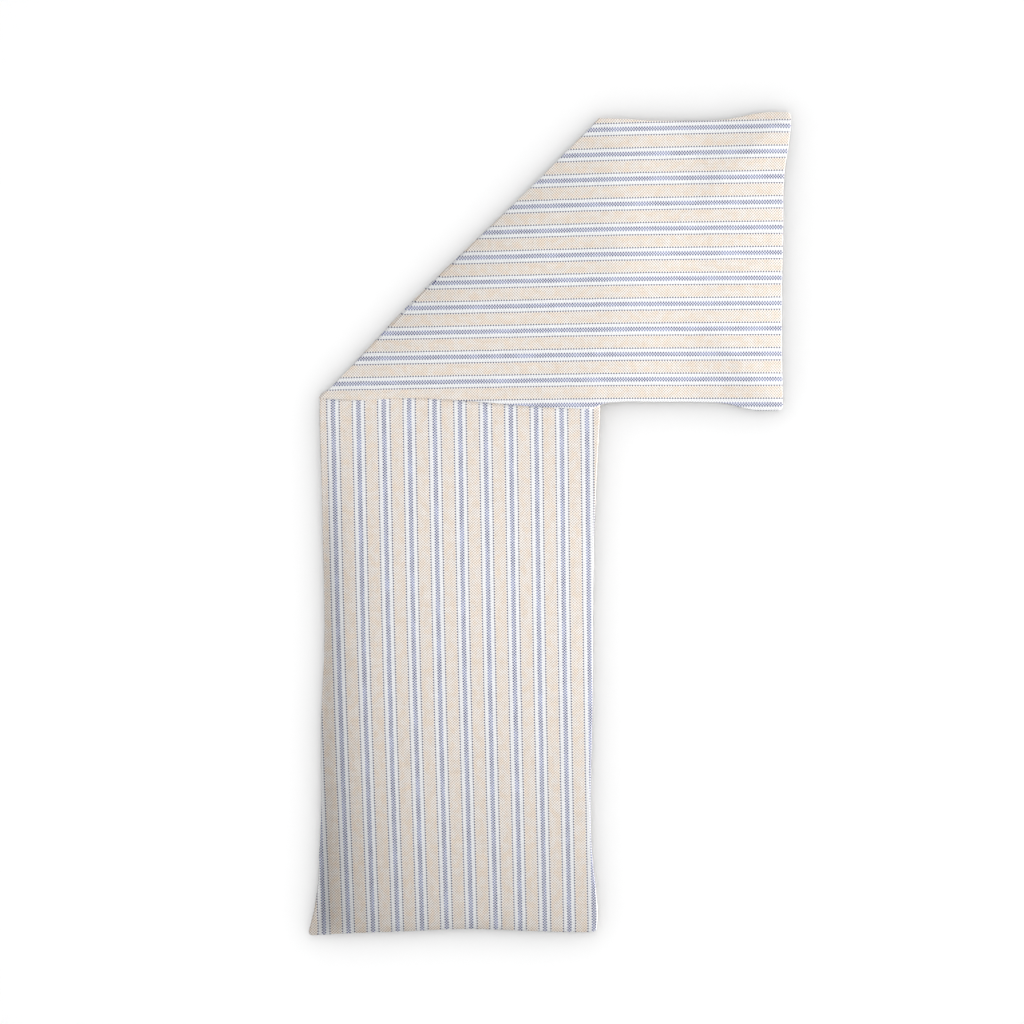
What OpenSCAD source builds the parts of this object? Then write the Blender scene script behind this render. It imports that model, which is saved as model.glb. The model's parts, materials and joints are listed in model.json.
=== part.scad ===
// Table runner in striped ticking. Two panels of the same cloth are seamed together round the edge and
// turned right side out. The runner lies flat, and one end is turned over at 45 degrees on top of it.
// Z = 0 is the table. +Y runs up the long leg, and the turned end reaches out along +X.

/* [Runner] */
// Finished width between the two long edges
runner_w = 395; // [300:5:500]
// Straight length of the long leg below the turned end
leg_drop = 750; // [400:1:1200]
// How far the turned end reaches past the leg's right edge
flap_reach = 258; // [120:1:500]
// Radius of the four turned-out corners
corner_r = 7; // [3:0.5:20]

/* [Cloth] */
// Thickness of one layer of ticking
cloth_t = 0.6; // [0.4:0.05:1]
// Width of the seam allowance turned in along every edge
allowance_w = 12; // [8:1:25]

/* [Sewing] */
// Thickness of the sewing thread
thread_d = 0.3; // [0.2:0.05:0.4]
// Distance from the finished edge in to the thread's centre
thread_inset = 0.5; // [0.4:0.1:2]
// Length of the gap that the runner was turned through, closed by hand
turning_gap = 120; // [60:5:200]
// Distance from the leg's lower end up to the middle of that gap
turning_gap_y = 280; // [150:5:290]
// Distance from one hand stitch to the next
slip_pitch = 10; // [6:1:20]
// Length of one hand stitch
slip_len = 6; // [3:0.5:8]

/* [Fold] */
// Air left between the leg and the end lying on it, which is also the inside of the bend
fold_gap = 0.4; // [0.3:0.1:2]
// Distance past the leg's right edge at which the turned end starts to step down
step_clear = 6; // [2:1:20]
// Length of that step down to the table
step_w = 26; // [15:1:60]

/* [Hidden] */
$fn = 64;

// Room that cutting shapes reach past what they cut
over = 1;

// Plan, with the origin in the middle of the whole outline
x_left = -(runner_w + flap_reach) / 2;
x_edge = x_left + runner_w;
x_right = x_edge + flap_reach;
y_bottom = -(runner_w + leg_drop) / 2;
y_low = y_bottom + leg_drop;
y_top = y_low + runner_w;

// Heights of the layers inside the runner's own thickness: back, two allowances, face
back_low = 0;
seam_z = 2 * cloth_t;
face_low = 3 * cloth_t;
runner_t = 4 * cloth_t;

// The fold turns about an axis halfway between the leg and the end lying on it
hinge_z = runner_t + fold_gap / 2;
lift = runner_t + fold_gap;
bend_r = fold_gap / 2;

// Where the turned end steps down
step_top_x = x_edge + step_clear;
step_foot_x = step_top_x + step_w;

// Height of the fold line's plan at x
function fold_y(x) = y_low + x - x_left;

// Outside of a rounded corner. sx and sy point from the corner into the cloth.
module corner_cut(x, y, sx, sy, r) {
    if (r > 0)
        translate([x + sx * r, y + sy * r])
            difference() {
                translate([sx > 0 ? -r - over : 0, sy > 0 ? -r - over : 0])
                    square(r + over);
                circle(r);
            }
}

// The long leg in plan, drawn in by inset on its three finished edges
module leg_plan(inset = 0) {
    difference() {
        polygon([
            [x_left + inset, y_bottom + inset],
            [x_edge - inset, y_bottom + inset],
            [x_edge - inset, fold_y(x_edge - inset)],
            [x_left + inset, fold_y(x_left + inset)]
        ]);
        corner_cut(x_left + inset, y_bottom + inset, 1, 1, corner_r - inset);
        corner_cut(x_edge - inset, y_bottom + inset, -1, 1, corner_r - inset);
    }
}

// The turned end in plan, drawn in by inset on its three finished edges
module flap_plan(inset = 0) {
    difference() {
        polygon([
            [x_left + inset, fold_y(x_left + inset)],
            [x_right - inset, y_low + inset],
            [x_right - inset, y_top - inset],
            [x_edge - inset, fold_y(x_edge - inset)]
        ]);
        corner_cut(x_right - inset, y_low + inset, -1, 1, corner_r - inset);
        corner_cut(x_right - inset, y_top - inset, -1, -1, corner_r - inset);
    }
}

// The bend in plan: a square on the fold line, which holds the bend between the two long edges
module bend_plan(inset = 0) {
    translate([x_left + inset, y_low])
        square(runner_w - inset);
}

// A flat layer of the leg
module leg_layer(low, high) {
    translate([0, 0, low])
        linear_extrude(high - low)
            children();
}

// A layer of the turned end: level over the leg, then down a step to the table.
// low and high are heights in the runner's own thickness, with the face side down.
module flap_layer(low, high) {
    intersection() {
        translate([0, 0, -over])
            linear_extrude(lift + runner_t + 2 * over)
                children();
        translate([0, y_top + over, 0])
            rotate([90, 0, 0])
                linear_extrude(runner_w + 2 * over)
                    polygon([
                        [x_left - over, lift + low],
                        [step_top_x, lift + low],
                        [step_foot_x, low],
                        [x_right + over, low],
                        [x_right + over, high],
                        [step_foot_x, high],
                        [step_top_x, lift + high],
                        [x_left - over, lift + high]
                    ]);
    }
}

// A half-round layer along the fold, from r_low to r_high out from the hinge axis
module bend_layer(r_low, r_high) {
    intersection() {
        translate([x_left, y_low, hinge_z])
            rotate([0, 0, 135])
                rotate([90, 0, 0])
                    linear_extrude(runner_w * sqrt(2))
                        intersection() {
                            difference() {
                                circle(r_high);
                                circle(r_low);
                            }
                            translate([0, -r_high - over])
                                square([r_high + over, 2 * (r_high + over)]);
                        }
        linear_extrude(lift + runner_t + over)
            children();
    }
}

// Seam allowance of one layer in plan, and the slot beside the seam where the thread lies
module leg_rim(w) {
    difference() {
        leg_plan();
        leg_plan(w);
    }
}

module flap_rim(w) {
    difference() {
        flap_plan();
        flap_plan(w);
    }
}

module bend_rim(w) {
    difference() {
        bend_plan();
        bend_plan(w);
    }
}

// Width of the slot from the edge to the far side of the thread
slot_w = thread_inset + thread_d / 2;

// Leg panels: one layer of cloth with its allowance turned in against it
module leg_face_panel() {
    color("#ebdfcf")
        difference() {
            union() {
                leg_layer(face_low, runner_t)
                    leg_plan();
                leg_layer(seam_z, face_low)
                    leg_rim(allowance_w);
            }
            leg_layer(seam_z - over, seam_z + thread_d / 2)
                leg_rim(slot_w);
        }
}

module leg_back_panel() {
    color("#e6d9c8")
        difference() {
            union() {
                leg_layer(back_low, cloth_t)
                    leg_plan();
                leg_layer(cloth_t, seam_z)
                    leg_rim(allowance_w);
            }
            leg_layer(seam_z - thread_d / 2, seam_z + over)
                leg_rim(slot_w);
        }
}

// Plan of the thread right round the leg's three finished edges
module leg_thread_plan() {
    difference() {
        leg_plan(thread_inset - thread_d / 2);
        leg_plan(slot_w);
    }
}

module leg_thread() {
    leg_layer(seam_z - thread_d / 2, seam_z + thread_d / 2)
        intersection() {
            leg_thread_plan();
            children();
        }
}

// The corner itself belongs to the end seam, so the side seams start above it
side_seam_y = y_bottom + corner_r;
gap_low_y = y_bottom + turning_gap_y - turning_gap / 2;
gap_high_y = gap_low_y + turning_gap;

module leg_left_seam() {
    color("#f4efe6") {
        leg_thread()
            translate([x_left, side_seam_y])
                square([corner_r, gap_low_y - side_seam_y]);
        leg_thread()
            translate([x_left, gap_high_y])
                square([corner_r, y_low + corner_r - gap_high_y]);
    }
}

module leg_right_seam() {
    color("#f4efe6")
        leg_thread()
            translate([x_edge - corner_r, side_seam_y])
                square([corner_r, y_top - side_seam_y]);
}

module leg_end_seam() {
    color("#f4efe6")
        leg_thread()
            translate([x_left, y_bottom])
                square([runner_w, corner_r]);
}

// Hand stitches across the turning gap, evenly spaced and clear of its ends
module turning_gap_slipstitches() {
    count = floor((turning_gap - slip_len) / slip_pitch) + 1;
    first = (turning_gap - (count - 1) * slip_pitch - slip_len) / 2;
    color("#fbf8f2")
        for (i = [0 : count - 1])
            leg_thread()
                translate([x_left, gap_low_y + first + i * slip_pitch])
                    square([corner_r, slip_len]);
}

// Bend: the cloth of each panel where it turns over
module fold_face_bend() {
    color("#e9dccb")
        difference() {
            union() {
                bend_layer(bend_r, bend_r + cloth_t)
                    bend_plan();
                bend_layer(bend_r + cloth_t, bend_r + seam_z)
                    bend_rim(allowance_w);
            }
            bend_layer(bend_r + seam_z - thread_d / 2, bend_r + seam_z + over)
                bend_rim(slot_w);
        }
}

module fold_back_bend() {
    color("#e2d5c4")
        difference() {
            union() {
                bend_layer(bend_r + face_low, bend_r + runner_t)
                    bend_plan();
                bend_layer(bend_r + seam_z, bend_r + face_low)
                    bend_rim(allowance_w);
            }
            bend_layer(bend_r + seam_z - over, bend_r + seam_z + thread_d / 2)
                bend_rim(slot_w);
        }
}

module fold_seams() {
    color("#f4efe6")
        bend_layer(bend_r + seam_z - thread_d / 2, bend_r + seam_z + thread_d / 2)
            difference() {
                bend_plan(thread_inset - thread_d / 2);
                bend_plan(slot_w);
            }
}

// Panels of the turned end. It lies face down, so its back panel is the one on top.
module flap_face_panel() {
    color("#ebdfcf")
        difference() {
            union() {
                flap_layer(0, cloth_t)
                    flap_plan();
                flap_layer(cloth_t, seam_z)
                    flap_rim(allowance_w);
            }
            flap_layer(seam_z - thread_d / 2, seam_z + over)
                flap_rim(slot_w);
        }
}

module flap_back_panel() {
    color("#f0e5d6")
        difference() {
            union() {
                flap_layer(face_low, runner_t)
                    flap_plan();
                flap_layer(seam_z, face_low)
                    flap_rim(allowance_w);
            }
            flap_layer(seam_z - over, seam_z + thread_d / 2)
                flap_rim(slot_w);
        }
}

module flap_thread() {
    flap_layer(seam_z - thread_d / 2, seam_z + thread_d / 2)
        intersection() {
            difference() {
                flap_plan(thread_inset - thread_d / 2);
                flap_plan(slot_w);
            }
            children();
        }
}

module flap_lower_seam() {
    color("#f4efe6")
        flap_thread()
            translate([x_left, y_low])
                square([x_right - corner_r - x_left, corner_r]);
}

module flap_upper_seam() {
    color("#f4efe6")
        flap_thread()
            translate([x_edge - corner_r, y_top - corner_r])
                square([flap_reach, corner_r]);
}

module flap_end_seam() {
    color("#f4efe6")
        flap_thread()
            translate([x_right - corner_r, y_low])
                square([corner_r, runner_w]);
}

leg_face_panel();
leg_back_panel();
leg_left_seam();
leg_right_seam();
leg_end_seam();
turning_gap_slipstitches();
fold_face_bend();
fold_back_bend();
fold_seams();
flap_face_panel();
flap_back_panel();
flap_lower_seam();
flap_upper_seam();
flap_end_seam();
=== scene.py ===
import json
import math

import bpy
import numpy as np
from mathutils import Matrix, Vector


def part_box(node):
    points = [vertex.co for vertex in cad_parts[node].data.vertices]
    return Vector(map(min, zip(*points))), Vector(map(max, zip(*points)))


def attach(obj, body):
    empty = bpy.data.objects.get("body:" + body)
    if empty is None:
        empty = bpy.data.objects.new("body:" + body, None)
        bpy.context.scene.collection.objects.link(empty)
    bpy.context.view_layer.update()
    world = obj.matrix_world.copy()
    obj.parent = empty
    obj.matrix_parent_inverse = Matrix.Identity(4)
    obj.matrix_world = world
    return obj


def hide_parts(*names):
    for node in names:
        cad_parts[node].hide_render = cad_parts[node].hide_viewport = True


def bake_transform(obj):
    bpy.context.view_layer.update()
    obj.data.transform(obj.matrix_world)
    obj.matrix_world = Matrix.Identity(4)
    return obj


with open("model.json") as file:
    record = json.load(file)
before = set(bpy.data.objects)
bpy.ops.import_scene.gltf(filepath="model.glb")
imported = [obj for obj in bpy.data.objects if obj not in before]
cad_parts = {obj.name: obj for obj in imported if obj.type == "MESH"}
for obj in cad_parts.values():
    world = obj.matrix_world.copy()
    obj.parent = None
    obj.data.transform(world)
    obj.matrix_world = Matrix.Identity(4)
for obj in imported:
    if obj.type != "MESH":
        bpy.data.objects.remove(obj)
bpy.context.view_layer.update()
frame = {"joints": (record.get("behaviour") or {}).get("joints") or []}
mm = 0.001

# Where the runner lies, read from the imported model
legLow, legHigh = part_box("leg_back_panel")
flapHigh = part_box("flap_back_panel")[1]
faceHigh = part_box("leg_face_panel")[1]
hinge = Vector(frame["joints"][0]["pos_m"])
runner = {
    "left": legLow.x,
    "right": legHigh.x,
    "width": legHigh.x - legLow.x,
    "bottom": legLow.y,
    "end": flapHigh.x,  # short edge of the turned end
    "fold": hinge.y - hinge.x,  # the fold line is y = x + fold
    "thick": faceHigh.z,  # both panels, with their seam allowances between them
    "top": flapHigh.z,
    "hingeZ": hinge.z,
}
outOfFold = Vector((-1, 1, 0)).normalized()  # square to the fold line, away from the leg
print("frame read, runner width", round(runner["width"], 4))


def smooth(x):
    x = np.clip(x, 0.0, 1.0)
    return x * x * (3 - 2 * x)


def between(a, b, share):
    return a + (b - a) * share


# A smooth curve through a few (place, value) points in mm, level past its ends
def curveThrough(points, x):
    at, value = np.array(points, float).T * mm
    slope = np.gradient(value, at)
    i = np.clip(np.searchsorted(at, x) - 1, 0, len(at) - 2)
    gap = at[i + 1] - at[i]
    t = np.clip((x - at[i]) / gap, 0.0, 1.0)
    start = (1 + 2 * t) * (1 - t) ** 2 * value[i] + t * (1 - t) ** 2 * gap * slope[i]
    return start + t * t * (3 - 2 * t) * value[i + 1] - t * t * (1 - t) * gap * slope[i + 1]


def linearColour(sRgb):
    channels = [int(sRgb[k : k + 2], 16) / 255 for k in (0, 2, 4)]
    return (*[c / 12.92 if c <= 0.04045 else ((c + 0.055) / 1.055) ** 2.4 for c in channels], 1.0)


# Adds one node: settings are its properties, inputs are values or the sockets that feed it
def addNode(tree, kind, settings=None, inputs=None):
    node = tree.nodes.new(kind)
    for name, value in (settings or {}).items():
        setattr(node, name, value)
    for name, value in (inputs or {}).items():
        if isinstance(value, bpy.types.NodeSocket):
            tree.links.new(value, node.inputs[name])
        else:
            node.inputs[name].default_value = value
    return node


# Camera straight above the runner, on a long lens
camera = {
    "lens": 85,
    "sensor": 36,
    "x": -55.6 * mm,
    "y": 18.1 * mm,
    "height": 3411 * mm,
    "clipEnd": 20,
}


def makeCamera():
    data = bpy.data.cameras.new("overhead")
    data.lens = camera["lens"]
    data.sensor_width = camera["sensor"]
    data.clip_end = camera["clipEnd"]
    eye = bpy.data.objects.new("overhead", data)
    eye.location = (camera["x"], camera["y"], camera["height"])
    bpy.context.scene.collection.objects.link(eye)
    bpy.context.scene.camera = eye


# Light: an even tent of daylight, a long low window to the right and a soft spot high above. The floor
# has a wide light of its own, so that it stays white wherever the spot fades. Metres and watts.
light = {
    "tent": 0.235,
    "tentColour": "FFFFFF",
    "window": {"at": (8.0, 0.45, 1.0), "aim": (0.0, 0.0, 0.0), "size": (2.2, 0.64), "watts": 1650},
    "spot": {"at": (0.17, 0.13, 3.0), "aim": (0.17, 0.13, 0.0), "watts": 172},
    "spotCone": 39.0,  # degrees
    "spotEdge": 1.0,
    "spotRadius": 0.2,
    "floorLight": {"at": (0.0, 0.0, 1.5), "aim": (0.0, 0.0, 0.0), "size": (5.0, 5.0), "watts": 96},
}


def addLamp(data, setup):
    data.energy = setup["watts"]
    lamp = bpy.data.objects.new(data.name, data)
    lamp.location = setup["at"]
    aim = Vector(setup["aim"]) - Vector(setup["at"])
    lamp.rotation_euler = aim.to_track_quat("-Z", "Y").to_euler()
    bpy.context.scene.collection.objects.link(lamp)
    return lamp


def addPanelLight(name, setup):
    panel = bpy.data.lights.new(name, "AREA")
    panel.shape = "RECTANGLE"
    panel.size, panel.size_y = setup["size"]
    return addLamp(panel, setup)


# The lamp lights the floor only, or everything but the floor
def linkLamp(lamp, floor, state):
    lit = bpy.data.collections.new(lamp.name + " lights")
    lit.objects.link(floor)
    lit.collection_objects[0].light_linking.link_state = state
    lamp.light_linking.receiver_collection = lit


def makeLights(floor):
    world = bpy.data.worlds.new("daylight tent")
    bpy.context.scene.world = world
    world.use_nodes = True
    background = world.node_tree.nodes["Background"]
    background.inputs["Color"].default_value = linearColour(light["tentColour"])
    background.inputs["Strength"].default_value = light["tent"]
    spot = bpy.data.lights.new("soft spot", "SPOT")
    spot.spot_size = math.radians(light["spotCone"])
    spot.spot_blend = light["spotEdge"]
    spot.shadow_soft_size = light["spotRadius"]
    linkLamp(addLamp(spot, light["spot"]), floor, "EXCLUDE")
    linkLamp(addPanelLight("window", light["window"]), floor, "EXCLUDE")
    overhead = addPanelLight("floor light", light["floorLight"])
    linkLamp(overhead, floor, "INCLUDE")
    overhead.visible_camera = False
    bpy.context.scene.view_settings.view_transform = "Standard"
    bpy.context.scene.cycles.denoising_prefilter = "NONE"  # keeps the weave crisp


# Floor: a sheet of opal acrylic. Light spreads inside it, so the shadow round the cloth is soft.
opalSheet = {
    "half": 4.0,  # half its width, m
    "below": 0.3,  # mm below the cloth, so that the two never share a surface
    "colour": "F2F2F2",
    "spread": 120,  # how far light spreads inside it, mm
    "roughness": 0.9,
    "specular": 0.1,
}


def makeFloor():
    half = opalSheet["half"]
    z = -opalSheet["below"] * mm
    mesh = bpy.data.meshes.new("floor")
    corners = [(-half, -half, z), (half, -half, z), (half, half, z), (-half, half, z)]
    mesh.from_pydata(corners, [], [(0, 1, 2, 3)])
    opal = bpy.data.materials.new("opal acrylic, cast and matt")
    opal.use_nodes = True
    shader = opal.node_tree.nodes["Principled BSDF"]
    shader.subsurface_method = "BURLEY"
    shader.inputs["Subsurface Weight"].default_value = 1.0
    shader.inputs["Subsurface Radius"].default_value = (1.0, 1.0, 1.0)
    shader.inputs["Subsurface Scale"].default_value = opalSheet["spread"] * mm
    shader.inputs["Base Color"].default_value = linearColour(opalSheet["colour"])
    shader.inputs["Roughness"].default_value = opalSheet["roughness"]
    shader.inputs["Specular IOR Level"].default_value = opalSheet["specular"]
    mesh.materials.append(opal)
    floor = bpy.data.objects.new("floor", mesh)
    bpy.context.scene.collection.objects.link(floor)
    return floor


makeCamera()
makeLights(makeFloor())
print("camera, lights and floor made")


# Ticking: yarn-dyed cotton and linen, woven. Matt, with a slight fuzz at grazing angles. The eye sees
# tan bands of fine diagonal lattice, white bands, a blue lattice stripe and lines of single dots.
ticking = {
    "repeat": 35.4,  # mm from one blue stripe to the next
    "pitch": 3.77,  # mm from dot to dot; the yarns are finer, and are drawn this coarse to show
    "columns": 9,  # pairs of columns of dots in one repeat
    "blueHalf": 3.0,  # half width of the blue stripe, mm
    "lineAt": 8.6,  # line of dots, mm from the middle of the blue stripe
    "lineHalf": 0.85,
    "tanFrom": 9.5,  # the tan band starts here, mm from the middle of the blue stripe
    "tanEdge": 0.35,  # how softly the tan band starts, mm
    "sway": 0.018,  # how far the stripes sway, as a share of the repeat
    "lean": (0.42, 0.58),  # how much of the diagonal runs each way, from patch to patch
    "yarnShade": (0.93, 1.07),  # how much darker and lighter single yarns are
    "tanLight": "FFFBF6",
    "tanDark": "BEAFA4",
    "tanWarm": "FFF1E1",
    "white": "FFFFFF",
    # painted shade: the grey that the white band is drawn with where the weave sinks between its yarns
    "whitePaintedShade": "D9DBDF",
    "blueDot": "4A5585",
    "blueSlub": "0C2068",
    "blueFaded": "747FB0",
    "blueGround": "F8F9FF",
    "lineDot": "35305C",
    "fleck": "A98C74",
    "roughness": 0.92,
    "specular": 0.25,
    "sheen": 0.1,
    "sheenRoughness": 0.5,
    "relief": 0.10,  # height of the yarns, mm
    "reliefStrength": 0.6,
}


# The weave in black and white: where the bands and stripes lie, and the dots, slubs and shades in them
def weavePattern(tree):
    cloth = addNode(tree, "ShaderNodeUVMap", {"uv_map": "weave"})
    place = addNode(tree, "ShaderNodeSeparateXYZ", {}, {0: cloth.outputs[0]})
    made = {"u": place.outputs[0], "v": place.outputs[1]}
    turn = 2 * math.pi / ticking["pitch"]

    # Uneven yarns: name, repeats per unit across and along the stripes, detail
    noises = (
        ("wander", 1.3, 2.0, 2),
        ("patch", 1.9, 1.5, 1),
        ("slub", 5.0, 1.1, 3),
        ("warm", 4.0, 3.0, 2),
        ("warpYarn", 22.0, 1.0, 2),
        ("weftYarn", 1.2, 24.0, 2),
        ("speck", 17.0, 21.0, 2),
    )
    for name, across, along, detail in noises:
        squeeze = addNode(tree, "ShaderNodeVectorMath", {"operation": "MULTIPLY"},
                          {0: cloth.outputs[0], 1: (across, along, 1.0)})
        made[name] = addNode(tree, "ShaderNodeTexNoise", {"noise_dimensions": "2D"},
                             {"Vector": squeeze.outputs[0], "Scale": 1.0, "Detail": detail}).outputs[0]

    # Each step is (result, operation, values), where a name stands for an earlier result
    steps = (
        ("uneven", "SUBTRACT", "wander", 0.5),
        ("shift", "MULTIPLY", "uneven", ticking["sway"]),
        ("uWander", "ADD", "u", "shift"),
        ("half", "ADD", "uWander", 0.5),
        ("turned", "FRACT", "half"),
        ("signed", "SUBTRACT", "turned", 0.5),
        ("across", "MULTIPLY", "signed", ticking["columns"] * 2 * math.pi),
        ("alongMm", "MULTIPLY", "v", ticking["repeat"] * turn),
        ("awaySigned", "MULTIPLY", "signed", ticking["repeat"]),
        ("away", "ABSOLUTE", "awaySigned"),
        ("cosAcross", "COSINE", "across"),
        ("cosAlong", "COSINE", "alongMm"),
        ("lattice", "MULTIPLY", "cosAcross", "cosAlong"),
        ("sum", "ADD", "across", "alongMm"),
        ("difference", "SUBTRACT", "across", "alongMm"),
        ("rising", "COSINE", "sum"),
        ("falling", "COSINE", "difference"),
        ("fromLine", "SUBTRACT", "away", ticking["lineAt"]),
        ("lineAway", "ABSOLUTE", "fromLine"),
    )
    for name, operation, *values in steps:
        inputs = {i: made.get(v, v) if isinstance(v, str) else v for i, v in enumerate(values)}
        made[name] = addNode(tree, "ShaderNodeMath", {"operation": operation}, inputs).outputs[0]

    # Soft steps: result, source, where it starts, where it ends
    ramps = (
        ("isTan", "away", ticking["tanFrom"] - ticking["tanEdge"], ticking["tanFrom"] + ticking["tanEdge"]),
        ("isBlue", "away", ticking["blueHalf"] + 0.35, ticking["blueHalf"] - 0.2),
        ("isLine", "lineAway", ticking["lineHalf"] + 0.25, ticking["lineHalf"] - 0.35),
        ("lineDots", "cosAlong", -0.45, 0.45),
        ("blueDots", "lattice", -0.3, 0.3),
        ("patchy", "patch", 0.36, 0.62),
        ("slubby", "slub", 0.49, 0.62),
        ("faded", "slub", 0.5, 0.3),
        ("sunned", "warm", 0.3, 0.75),
        ("flecks", "speck", 0.735, 0.80),
    )
    for name, source, low, high in ramps:
        made[name] = addNode(tree, "ShaderNodeMapRange", {"interpolation_type": "SMOOTHSTEP"},
                             {"Value": made[source], "From Min": low, "From Max": high}).outputs[0]

    leaning = addNode(tree, "ShaderNodeMapRange", {},
                      {"Value": made["patchy"], "To Min": ticking["lean"][0],
                       "To Max": ticking["lean"][1]}).outputs[0]
    twill = addNode(tree, "ShaderNodeMix", {"data_type": "FLOAT"},
                    {0: leaning, 2: made["rising"], 3: made["falling"]}).outputs[0]
    made["plainDots"] = addNode(tree, "ShaderNodeMapRange", {"interpolation_type": "SMOOTHSTEP"},
                                {"Value": twill, "From Min": -0.9, "From Max": 0.5}).outputs[0]
    made["lineBlots"] = addNode(tree, "ShaderNodeMath", {"operation": "MULTIPLY"},
                                {0: made["isLine"], 1: made["lineDots"]}).outputs[0]
    yarns = addNode(tree, "ShaderNodeMath", {"operation": "ADD"},
                    {0: made["warpYarn"], 1: made["weftYarn"]}).outputs[0]
    made["shade"] = addNode(tree, "ShaderNodeMapRange", {},
                            {"Value": yarns, "From Min": 0.6, "From Max": 1.4,
                             "To Min": ticking["yarnShade"][0], "To Max": ticking["yarnShade"][1]}).outputs[0]
    made["height"] = addNode(tree, "ShaderNodeMath", {"operation": "MULTIPLY_ADD"},
                             {0: twill, 1: 0.5, 2: made["weftYarn"]}).outputs[0]
    return made


def makeTicking():
    material = bpy.data.materials.new("cotton and linen ticking, yarn-dyed and woven")
    material.use_nodes = True
    tree = material.node_tree
    shader = tree.nodes["Principled BSDF"]
    made = weavePattern(tree)

    # Colours laid over each other: result, share, under, over
    colours = {k: linearColour(v) for k, v in ticking.items() if isinstance(v, str)}
    layers = (
        ("tanPale", made["sunned"], "tanLight", "tanWarm"),
        ("tan", made["plainDots"], "tanDark", "tanPale"),
        ("tanFlecked", made["flecks"], "tan", "fleck"),
        # painted shade: the white band is drawn darker in the valleys of the weave, where the bump also dips
        ("whiteWithPaintedShade", made["plainDots"], "whitePaintedShade", "white"),
        ("bands", made["isTan"], "whiteWithPaintedShade", "tanFlecked"),
        ("lined", made["lineBlots"], "bands", "lineDot"),
        ("bluePale", made["faded"], "blueDot", "blueFaded"),
        ("blueYarn", made["slubby"], "bluePale", "blueSlub"),
        ("blue", made["blueDots"], "blueGround", "blueYarn"),
        ("striped", made["isBlue"], "lined", "blue"),
    )
    for name, share, under, over in layers:
        colours[name] = addNode(tree, "ShaderNodeMix", {"data_type": "RGBA"},
                                {0: share, 6: colours[under], 7: colours[over]}).outputs[2]
    shaded = addNode(tree, "ShaderNodeVectorMath", {"operation": "SCALE"},
                     {0: colours["striped"], "Scale": made["shade"]})
    tree.links.new(shaded.outputs[0], shader.inputs["Base Color"])
    bump = addNode(tree, "ShaderNodeBump", {},
                   {"Strength": ticking["reliefStrength"], "Distance": ticking["relief"] * mm,
                    "Height": made["height"]})
    tree.links.new(bump.outputs[0], shader.inputs["Normal"])
    shader.inputs["Roughness"].default_value = ticking["roughness"]
    shader.inputs["Specular IOR Level"].default_value = ticking["specular"]
    shader.inputs["Sheen Weight"].default_value = ticking["sheen"]
    shader.inputs["Sheen Roughness"].default_value = ticking["sheenRoughness"]
    return material


# Thread: mercerised cotton, spun and twisted. The eye sees a soft shine and fine slanting plies.
thread = {
    "machine": "F2EDE4",
    "hand": "E4EAF4",
    # painted shade: the valleys between the plies are drawn darker by this share
    "shadow": 0.8,  # how dark the valley between plies is
    "ply": 0.45,  # mm from ply to ply along the thread
    "twistNoise": 1.5,
    "relief": 0.05,  # mm
    "reliefStrength": 0.4,
    "roughness": 0.55,
    "sheen": 0.3,
}


def makeThread(name, colour):
    material = bpy.data.materials.new(name)
    material.use_nodes = True
    tree = material.node_tree
    shader = tree.nodes["Principled BSDF"]
    place = addNode(tree, "ShaderNodeTexCoord")
    plies = addNode(tree, "ShaderNodeTexWave", {"bands_direction": "DIAGONAL"},
                    {"Vector": place.outputs["Object"], "Scale": 2 * math.pi / (10 * thread["ply"] * mm),
                     "Distortion": thread["twistNoise"], "Detail": 1.0})
    # painted shade: the thread is drawn darker in the valleys between its plies, where the bump also dips
    pale = linearColour(colour)
    paintedPlyShade = (*[c * thread["shadow"] for c in pale[:3]], 1.0)
    ply = addNode(tree, "ShaderNodeMix", {"data_type": "RGBA"},
                  {0: plies.outputs[1], 6: paintedPlyShade, 7: pale})
    bump = addNode(tree, "ShaderNodeBump", {},
                   {"Strength": thread["reliefStrength"], "Distance": thread["relief"] * mm,
                    "Height": plies.outputs[1]})
    tree.links.new(ply.outputs[2], shader.inputs["Base Color"])
    tree.links.new(bump.outputs[0], shader.inputs["Normal"])
    shader.inputs["Roughness"].default_value = thread["roughness"]
    shader.inputs["Sheen Weight"].default_value = thread["sheen"]
    return material


tickingCloth = makeTicking()
machineThread = makeThread("cotton sewing thread, spun", thread["machine"])
handThread = makeThread("cotton hand-sewing thread, spun", thread["hand"])
print("materials made")


# The edge of each panel: it rolls in at the seam, and its allowance lies flat inside
rim = {
    "roll": 0.6,  # outer radius of the roll, mm
    "corner": 7.0,  # radius of the corners, mm
    "allowance": 11.4,  # cloth past the roll, mm
    "clipped": 0.42,  # share of it that is left where a corner is trimmed
    "cloth": 0.5,  # mm
    "hidden": (1.0, 0.6, 0.3, 0.1),  # rows of the mesh on the allowance, as shares of it
    "steps": 6,  # rows round the roll
    "rows": (1.1, 1.9, 3.0, 4.4, 6.0, 7.0, 9.0, 12.0, 16.0),  # rows inside the roll, mm from the edge
    "inner": 20.0,  # the edge rows end this far in and the even grid starts, mm
    "grid": 6.0,  # size of the even grid, mm
    "foldRows": (12.0, 7.0, 3.5, 1.6, 0.7),  # rows before the fold, mm
    "foldRoom": 0.2,  # the panels stop this short of the fold, and the bends reach over to them
    "sharp": 55,  # edges that turn more than this many degrees are drawn sharp
}
roll = rim["roll"] * mm
corner = rim["corner"] * mm
inner = rim["inner"] * mm

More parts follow.
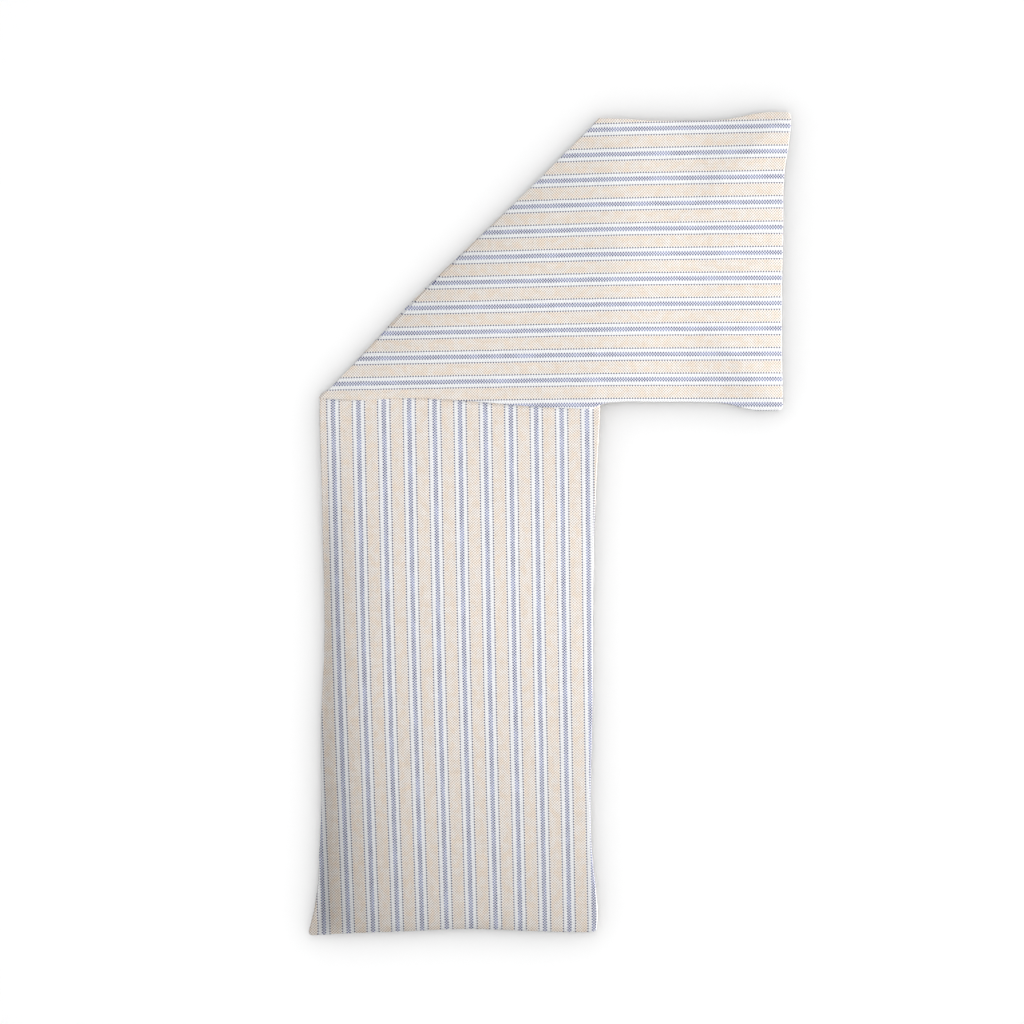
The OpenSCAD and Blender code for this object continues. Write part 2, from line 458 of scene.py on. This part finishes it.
# How far the outline wanders from a straight one, mm: (place along the edge, move in x or y)
outline = {
    "legLeft": ((-572, -17), (-530, -6.5), (-450, 0), (-250, 3), (-190, 6), (0, 4), (180, -1)),
    "legRight": ((-572, -5.5), (-550, -3.5), (-515, -6), (-480, -10), (-250, -11), (0, -8), (166, 0)),
    "legEnd": ((-335, -7), (-283, -4), (-183, 0), (-110, 3), (-23, 0), (57, -2)),
    "flapLower": ((-326, -1), (-277, -2), (-205, 1), (-95, -5), (-38, -10), (19, -13), (60, -12), (74, -6.5),
                  (92, -4.4), (145, -4.2), (200, -4.2), (245, -6.3), (285, -15.7), (317, -16)),
    "flapUpper": ((68, 0), (180, -3), (240, -1), (290, 9), (338, 9)),
    "flapEnd": ((166, 0), (280, -2), (420, 0), (495, 2), (525, 7), (556, 11), (582, 11)),
    "foldLow": 0,  # both bodies meet here at the lower end of the fold
    "endFade": 150,  # the ends' wander dies out over this length
    "foldFade": 45,
}

# Heights, in mm
drape = {
    "puff": 6.2,  # air under the face panel of the leg
    "puffRim": 8,  # how fast it rises from an edge, mm
    "puffLeft": 60,  # it rises from the left edge over this length and sinks slowly to the right one
    "puffFrom": 175,  # no puff above this y, where the turned end presses on it
    "puffFade": 260,
    "flapPuff": 5.6,  # air under the back panel of the turned end
    "flapReach": 110,
    "flapFromFold": 52,
    "ripple": 0.12,
    # slow ripples of cloth that has been folded and pressed: radians per mm in x and in y, phase
    "waves": ((0.031, 0.011, 0.4), (-0.012, 0.023, 1.9), (0.019, 0.037, 3.1), (0.047, -0.016, 5.0)),
    "stepFrom": 72,  # the turned end comes down to the table past the leg's edge
    "stepTo": 220,
    # how far the fold stands out, along it: (x, mm)
    "bulge": ((-327, 2), (-322, 3.5), (-314, 1), (-300, 0.5), (-264, 2), (-205, 5), (-167, 5), (-110, 3),
              (-46, 1), (64, 1)),
    "bendSteps": 24,
}


# How far in from the edge, and how deep under the outer face, cloth lies that is at this place along itself
def rollAround(place, share):
    angle = np.clip((roll - place) / roll, 0.0, math.pi)
    past = np.maximum(roll - math.pi * roll - place, 0.0)
    inset = np.maximum(place, roll) - roll * np.sin(angle) + past * share
    return inset, roll * (1 - np.cos(angle))


def edgeRows():
    past = roll - math.pi * roll
    hidden = [past - rim["allowance"] * mm * s for s in rim["hidden"]]
    turned = [roll - roll * math.pi * k / rim["steps"] for k in range(rim["steps"], -1, -1)]
    return np.array(hidden + turned + [r * mm for r in rim["rows"]])


# The grid's lines along a panel: how far each is from the side edge, and which side that is
def sideLines(rows):
    across = int((runner["width"] - 2 * inner) / (rim["grid"] * mm))
    middle = np.linspace(inner, runner["width"] - inner, across)
    nearer = np.where(middle < runner["width"] / 2, -1, 1)
    fromSide = np.concatenate([rows, np.minimum(middle, runner["width"] - middle), rows[::-1]])
    side = np.concatenate([-np.ones(len(rows)), nearer, np.ones(len(rows))])
    return fromSide, side


# Corners: squares of the grid become quarter discs about a centre inside the corner
def roundCorners(a, b, insetA, insetB, depth):
    near = (a < corner) & (b < corner)
    place = np.minimum(a, b)
    inset, nearDepth = rollAround(place, rim["clipped"])
    centre = np.maximum(corner, inset + rim["roll"] / 2 * mm)
    away = np.stack([corner - a, corner - b])
    away = away / np.maximum(np.hypot(*away), 1e-9)
    flatA = np.where(near, centre - (centre - place) * away[0], a)
    flatB = np.where(near, centre - (centre - place) * away[1], b)
    insetA = np.where(near, centre - (centre - inset) * away[0], insetA)
    insetB = np.where(near, centre - (centre - inset) * away[1], insetB)
    edge = np.where(near, inset, np.minimum(insetA, insetB))
    return insetA, insetB, flatA, flatB, np.where(near, nearDepth, depth), edge


# A panel's grid in the flat runner. It gives where the cloth is placed, where its pattern is, how deep it
# lies under the outer face, and how far in from the edge it is.
def panelGrid(toEnd):
    rows = edgeRows()
    fromSide, side = sideLines(rows)
    lead = np.array([rim["inner"], *rim["foldRows"], rim["foldRoom"]]) * mm
    longest = runner["right"] + runner["fold"] - runner["bottom"]
    if toEnd == "flap":
        longest = runner["end"] - runner["left"]
    along = int((longest - 2 * inner) / (rim["grid"] * mm))
    share = np.linspace(0, 1, along)[:-1]
    count = len(rows) + len(share) + len(lead)

    # a and b are how far along the cloth a point is from the side edge and from the end edge
    a = np.repeat(fromSide[:, None], count, axis=1)
    s = np.repeat(side[:, None], count, axis=1)
    clear = np.concatenate([rows, np.full(len(share) + len(lead), 1.0)])
    trimmed = between(rim["clipped"], 1.0, smooth((clear - corner) / (2 * corner)))[None, :]
    insetA, depthA = rollAround(a, trimmed)
    foldY = np.where(s < 0, runner["left"] + insetA, runner["right"] - insetA) + runner["fold"]
    reach = foldY - runner["bottom"] if toEnd == "leg" else runner["end"] + runner["fold"] - foldY
    b = np.repeat(clear[None, :], len(fromSide), axis=0)
    b[:, len(rows):len(rows) + len(share)] = inner + share[None, :] * (reach[:, -1:] - 2 * inner)
    b[:, len(rows) + len(share):] = reach[:, -1:] - lead[None, :]
    trimmed = between(rim["clipped"], 1.0, smooth((a - corner) / (2 * corner)))
    insetB, depthB = rollAround(b, trimmed)

    depth = np.maximum(depthA, depthB)
    insetA, insetB, flatA, flatB, depth, edge = roundCorners(a, b, insetA, insetB, depth)
    placed = inFlat(s, insetA, insetB, toEnd)
    pattern = inFlat(s, flatA, flatB, toEnd)
    return placed, pattern, depth, edge


# Distances from the side and the end edge, as x and y in the flat runner
def inFlat(s, fromSide, fromEnd, toEnd):
    x = np.where(s < 0, runner["left"] + fromSide, runner["right"] - fromSide)
    if toEnd == "leg":
        return np.stack([x, runner["bottom"] + fromEnd])
    return np.stack([x, runner["end"] + runner["fold"] - fromEnd])


# Moves a flat runner's points to its slightly wandering outline
def wander(flat, toEnd):
    x, y = flat
    share = (x - runner["left"]) / runner["width"]
    toFold = np.abs(x + runner["fold"] - y) / math.sqrt(2)
    atFold = smooth(1 - toFold / (outline["foldFade"] * mm))
    if toEnd == "leg":
        low, high, along = "legLeft", "legRight", y
        endMove = curveThrough(outline["legEnd"], x)
        endNear = smooth(1 - (y - runner["bottom"]) / (outline["endFade"] * mm))
    else:
        low, high, along = "flapLower", "flapUpper", y - runner["fold"]
        endMove = curveThrough(outline["flapEnd"], x + runner["fold"])
        endNear = smooth(1 - (runner["end"] + runner["fold"] - y) / (outline["endFade"] * mm))
    move = between(curveThrough(outline[low], along), curveThrough(outline[high], along), share)
    move = between(move, outline["foldLow"] * mm * (1 - share), atFold)
    return np.stack([x + move, y + endMove * endNear * (1 - atFold) + move * atFold])


# Where the blue stripes run, in the flat runner, mm: (along, a stripe's middle, repeat)
stripes = {
    "face": ((-563, -286, 34.6), (-202, -299, 35.3), (159, -308, 35.8)),
    "back": ((177, -306, 35), (403, -302, 34.9), (572, -299.5, 35.2), (821, -298.5, 35.7)),
}


def weaveAt(flat, panel):
    x, y = flat
    first = curveThrough([(at, middle) for at, middle, _ in stripes[panel]], y)
    repeat = curveThrough([(at, wide) for at, _, wide in stripes[panel]], y)
    return np.stack([(x - first) / repeat, y / (ticking["repeat"] * mm)], axis=-1)


def turnedOver(flat):
    return np.stack([flat[1] - runner["fold"], flat[0] + runner["fold"]])


# A sheet from a grid of points, thickened inwards and made one plain mesh
def makeSheet(name, points, weave, outward):
    rows, cols = points.shape[:2]
    index = np.arange(rows * cols).reshape(rows, cols)
    quads = np.stack([index[:-1, :-1], index[1:, :-1], index[1:, 1:], index[:-1, 1:]], axis=-1)
    quads = quads.reshape(-1, 4)
    listed = points.reshape(-1, 3)
    rising = listed[quads[:, 2]] - listed[quads[:, 0]]
    falling = listed[quads[:, 3]] - listed[quads[:, 1]]
    normals = np.cross(rising, falling).reshape(rows - 1, cols - 1, 3)
    if normals[rows // 2, cols // 2] @ np.array(outward) < 0:
        quads = quads[:, ::-1]
    mesh = bpy.data.meshes.new(name + "_sheet")
    mesh.from_pydata(listed.tolist(), [], quads.tolist())
    layer = mesh.uv_layers.new(name="weave")
    corners = np.zeros(len(mesh.loops), int)
    mesh.loops.foreach_get("vertex_index", corners)
    layer.data.foreach_set("uv", weave.reshape(-1, 2)[corners].astype(np.float32).ravel())
    mesh.materials.append(tickingCloth)
    sheet = bpy.data.objects.new(name, mesh)
    bpy.context.scene.collection.objects.link(sheet)
    thicken = sheet.modifiers.new("cloth", "SOLIDIFY")
    thicken.thickness = rim["cloth"] * mm
    thicken.offset = -1.0
    makePlain(sheet)
    return sheet


# The evaluated object becomes its own plain mesh, with no modifiers left
def makePlain(obj):
    graph = bpy.context.evaluated_depsgraph_get()
    mesh = bpy.data.meshes.new_from_object(obj.evaluated_get(graph))
    obj.modifiers.clear()
    obj.data = mesh
    mesh.name = obj.name
    mesh.shade_smooth()
    mesh.set_sharp_from_angle(angle=math.radians(rim["sharp"]))


def ripple(x, y):
    total = sum(np.sin(x / mm * kx + y / mm * ky + phase) for kx, ky, phase in drape["waves"])
    return drape["ripple"] * mm * total / len(drape["waves"])


def legHeight(x, y, edge, depth, face):
    if not face:
        return depth
    fromLeft = np.maximum(x - runner["left"], 0)
    inside = 1 - np.exp(-np.maximum(edge - roll, 0) / (drape["puffRim"] * mm))
    inside = inside * (1 - np.exp(-fromLeft / (drape["puffLeft"] * mm)))
    inside = inside * np.maximum(runner["right"] - x, 0) / runner["width"]
    pressed = smooth((drape["puffFrom"] * mm - y) / (drape["puffFade"] * mm))
    lift = inside * pressed * (drape["puff"] * mm + 2 * ripple(x, y))
    return runner["thick"] - depth + lift


def flapHeight(x, y, edge, depth, face):
    step = smooth((x - drape["stepFrom"] * mm) / ((drape["stepTo"] - drape["stepFrom"]) * mm))
    low = (runner["top"] - runner["thick"]) * (1 - step)
    if face:
        return low + depth
    fromFold = np.maximum((x + runner["fold"] - y) / math.sqrt(2), 0)
    inside = 1 - np.exp(-np.maximum(edge - roll, 0) / (drape["flapReach"] * mm))
    inside = inside * (1 - np.exp(-fromFold / (drape["flapFromFold"] * mm)))
    lift = inside * (drape["flapPuff"] * mm + 2 * ripple(y, x))
    return low + runner["thick"] - depth + lift


grids = {body: panelGrid(body) for body in ("leg", "flap")}


def makePanel(name, body, face):
    placed, pattern, depth, edge = grids[body]
    flat = wander(placed, body)
    weave = weaveAt(wander(pattern, body), "face" if face else "back")
    x, y = flat if body == "leg" else turnedOver(flat)
    height = (legHeight if body == "leg" else flapHeight)(x, y, edge, depth, face)
    outward = (0, 0, 1 if face == (body == "leg") else -1)
    sheet = makeSheet(name, np.stack([x, y, height], axis=-1), weave, outward)
    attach(sheet, body)
    return sheet


# The two bends: half turns about the hinge line, the face panel inside the back panel. The first and last
# columns reach over to the panels, so that the panels themselves never touch when the fold opens out.
def makeBend(name, face):
    placed, pattern, depth, _ = grids["leg"]
    toFold = np.array([0, rim["foldRoom"] * mm]).reshape(2, 1, 1)
    flat = wander(placed[:, :, -1:] + toFold, "leg")
    onLeg = wander(placed[:, :, -1:], "leg")
    onFlap = turnedOver(wander(grids["flap"][0][:, :, -1:], "flap"))
    depth = depth[:, -1:]
    share = np.linspace(0, 1, drape["bendSteps"] + 1)[None, :]
    angle = math.pi * share
    bendRadius = runner["hingeZ"] - (runner["thick"] if face else 0)
    outer = bendRadius + depth if face else bendRadius - depth
    bulge = 1.0 if face else curveThrough(drape["bulge"], flat[0]) / runner["hingeZ"]
    out = outer * np.sin(angle) * bulge
    x = np.concatenate([onLeg[0], flat[0] + out * outOfFold.x, onFlap[0]], axis=1)
    y = np.concatenate([onLeg[1], flat[1] + out * outOfFold.y, onFlap[1]], axis=1)
    z = np.pad(runner["hingeZ"] - outer * np.cos(angle), ((0, 0), (1, 1)), mode="edge")
    before = np.pad(math.pi * bendRadius * (share - 1), ((0, 0), (1, 1)), mode="edge")
    pattern = wander(pattern[:, :, -1:] + toFold, "leg")
    weave = weaveAt((pattern[0] + before * outOfFold.x, pattern[1] + before * outOfFold.y),
                    "face" if face else "back")
    outward = -outOfFold if face else outOfFold
    sheet = makeSheet(name, np.stack([x, y, z], axis=-1), weave, tuple(outward))
    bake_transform(sheet)
    return sheet


legBack = makePanel("leg_back", "leg", False)
legFace = makePanel("leg_face", "leg", True)
flapFace = makePanel("flap_face", "flap", True)
flapBack = makePanel("flap_back", "flap", False)
faceBend = makeBend("fold_face", True)
backBend = makeBend("fold_back", False)
replaced = (
    (legBack, "leg_back_panel"),
    (legFace, "leg_face_panel"),
    (flapFace, "flap_face_panel"),
    (flapBack, "flap_back_panel"),
    (faceBend, "fold_face_bend"),
    (backBend, "fold_back_bend"),
)
for piece, node in replaced:
    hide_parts(node)
print("panels made")


# Stitches, laid along each seam in the groove between the two panels
seam = {
    "pitch": 3.0,  # machine stitches, mm
    "length": 2.6,
    "handPitch": 10.0,  # slip stitches, mm
    "handLength": 6.0,
    "thread": 0.3,
    "inset": 0.2,  # in from the edge, so that the thread lies between the rolls
    "lean": 0.12,  # how unevenly the stitches lie, radians
    "handLean": 0.05,
    "shortOfFold": 2,  # rows of the panel's grid left free of stitches at the fold
    "beadSides": 6,  # each stitch is a long bead
    "beadRings": 4,
    "roundFold": 13,  # points on the seam's half turn round the fold
    "seed": 7,
}


def makeStitchTree():
    tree = bpy.data.node_groups.new("stitches along a seam", "GeometryNodeTree")
    sockets = (
        ("Seam", "INPUT", "Geometry"),
        ("Pitch", "INPUT", "Float"),
        ("Size", "INPUT", "Vector"),
        ("Lean", "INPUT", "Float"),
        ("Seed", "INPUT", "Int"),
        ("Thread", "INPUT", "Material"),
        ("Stitches", "OUTPUT", "Geometry"),
    )
    for name, way, kind in sockets:
        tree.interface.new_socket(name, in_out=way, socket_type="NodeSocket" + kind)
    given = addNode(tree, "NodeGroupInput").outputs
    line = addNode(tree, "GeometryNodeMeshToCurve", {}, {0: given["Seam"]}).outputs[0]
    spaced = addNode(tree, "GeometryNodeResampleCurve", {"mode": "LENGTH"},
                     {"Curve": line, "Length": given["Pitch"]}).outputs[0]
    tangent = addNode(tree, "GeometryNodeInputTangent").outputs[0]
    turned = addNode(tree, "FunctionNodeAlignRotationToVector", {"axis": "Z"},
                     {"Vector": tangent}).outputs[0]
    bead = addNode(tree, "GeometryNodeMeshUVSphere", {},
                   {"Segments": seam["beadSides"], "Rings": seam["beadRings"], "Radius": 0.5}).outputs[0]
    laid = addNode(tree, "GeometryNodeInstanceOnPoints", {},
                   {"Points": spaced, "Instance": bead, "Rotation": turned,
                    "Scale": given["Size"]}).outputs[0]
    least = addNode(tree, "ShaderNodeMath", {"operation": "MULTIPLY"},
                    {0: given["Lean"], 1: -1.0}).outputs[0]
    uneven = addNode(tree, "FunctionNodeRandomValue", {"data_type": "FLOAT_VECTOR"},
                     {0: least, 1: given["Lean"], "Seed": given["Seed"]}).outputs[0]
    leaning = addNode(tree, "GeometryNodeRotateInstances", {},
                      {"Instances": laid, "Rotation": uneven}).outputs[0]
    real = addNode(tree, "GeometryNodeRealizeInstances", {}, {0: leaning}).outputs[0]
    rounded = addNode(tree, "GeometryNodeSetShadeSmooth", {}, {"Geometry": real}).outputs[0]
    spun = addNode(tree, "GeometryNodeSetMaterial", {},
                   {"Geometry": rounded, "Material": given["Thread"]})
    addNode(tree, "NodeGroupOutput", {}, {"Stitches": spun.outputs[0]})
    return tree


stitchTree = makeStitchTree()


# paths is a list of lines of points, each laid with its own run of stitches
def sewSeam(name, paths, pitch, length, lean, material):
    points = np.concatenate(paths)
    edges = []
    start = 0
    for path in paths:
        edges += [(start + k, start + k + 1) for k in range(len(path) - 1)]
        start += len(path)
    mesh = bpy.data.meshes.new(name)
    mesh.from_pydata(points.tolist(), edges, [])
    sewn = bpy.data.objects.new(name, mesh)
    bpy.context.scene.collection.objects.link(sewn)
    stitches = sewn.modifiers.new("stitches", "NODES")
    stitches.node_group = stitchTree
    values = {
        "Pitch": pitch * mm,
        "Size": (seam["thread"] * mm, seam["thread"] * mm, length * mm),
        "Lean": lean,
        "Seed": seam["seed"],
        "Thread": material,
    }
    for socket in stitchTree.interface.items_tree:
        if socket.name in values:
            stitches[socket.identifier] = values[socket.name]
    makePlain(sewn)
    return sewn


# The groove of a body's seam, from the grid rows that run round its edge
def groove(body):
    turnedIn = len(rim["hidden"])
    outermost = turnedIn + rim["steps"] // 2
    placed = grids[body][0]
    lines = []
    for step in (outermost, turnedIn):
        lines.append((placed[:, step, outermost:], placed[:, outermost:-outermost, step],
                      placed[:, -1 - step, outermost:]))
    share = seam["inset"] / rim["roll"]
    found = []
    for edgeLine, innerLine in zip(*lines):
        flat = wander(between(edgeLine, innerLine, share), body)
        x, y = flat if body == "leg" else turnedOver(flat)
        depth = np.full(x.shape, runner["thick"] / 2)
        z = depth if body == "leg" else flapHeight(x, y, depth, depth, True)
        found.append(np.stack([x, y, z], axis=-1))
    return found


gapLow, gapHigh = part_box("turning_gap_slipstitches")
legSeams = groove("leg")
flapSeams = groove("flap")
gapSide = 0 if gapLow.x < hinge.x else 2
inGap = (legSeams[gapSide][:, 1] > gapLow.y) & (legSeams[gapSide][:, 1] < gapHigh.y)
gapPath = legSeams[gapSide][inGap]
firstIn, lastIn = np.flatnonzero(inGap)[[0, -1]]
stop = -seam["shortOfFold"]
legRuns = [[legSeams[0][:stop]], [legSeams[1]], [legSeams[2][:stop]]]
legRuns[gapSide] = [legSeams[gapSide][: firstIn + 1], legSeams[gapSide][lastIn:stop]]
seams = (
    ("leg_left_seam", "leg", legRuns[0]),
    ("leg_end_seam", "leg", legRuns[1]),
    ("leg_right_seam", "leg", legRuns[2]),
    ("flap_lower_seam", "flap", [flapSeams[0][:stop]]),
    ("flap_end_seam", "flap", [flapSeams[1]]),
    ("flap_upper_seam", "flap", [flapSeams[2][:stop]]),
)
sewnOn = {"leg": [], "flap": []}
for node, body, runs in seams:
    sewn = sewSeam(node + "_thread", runs, seam["pitch"], seam["length"], seam["lean"], machineThread)
    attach(sewn, body)
    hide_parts(node)
    sewnOn[body].append(sewn)
slips = sewSeam("slip_stitches", [gapPath], seam["handPitch"], seam["handLength"], seam["handLean"],
                handThread)
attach(slips, "leg")
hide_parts("turning_gap_slipstitches")
sewnOn["leg"].append(slips)

# The seam goes round the fold at both its ends
turn = np.linspace(0, math.pi, seam["roundFold"])[:, None]
radius = runner["hingeZ"] - runner["thick"] / 2
halfTurn = radius * (np.sin(turn) * tuple(outOfFold) - np.cos(turn) * (0, 0, 1)) + (0, 0, runner["hingeZ"])
foldEnds = [line[-1:] * (1, 1, 0) + halfTurn for line in (legSeams[0], legSeams[2])]
foldThread = sewSeam("fold_seam_thread", foldEnds, seam["pitch"], seam["length"], seam["lean"], machineThread)
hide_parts("fold_seams")
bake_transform(foldThread)
print("seams sewn")
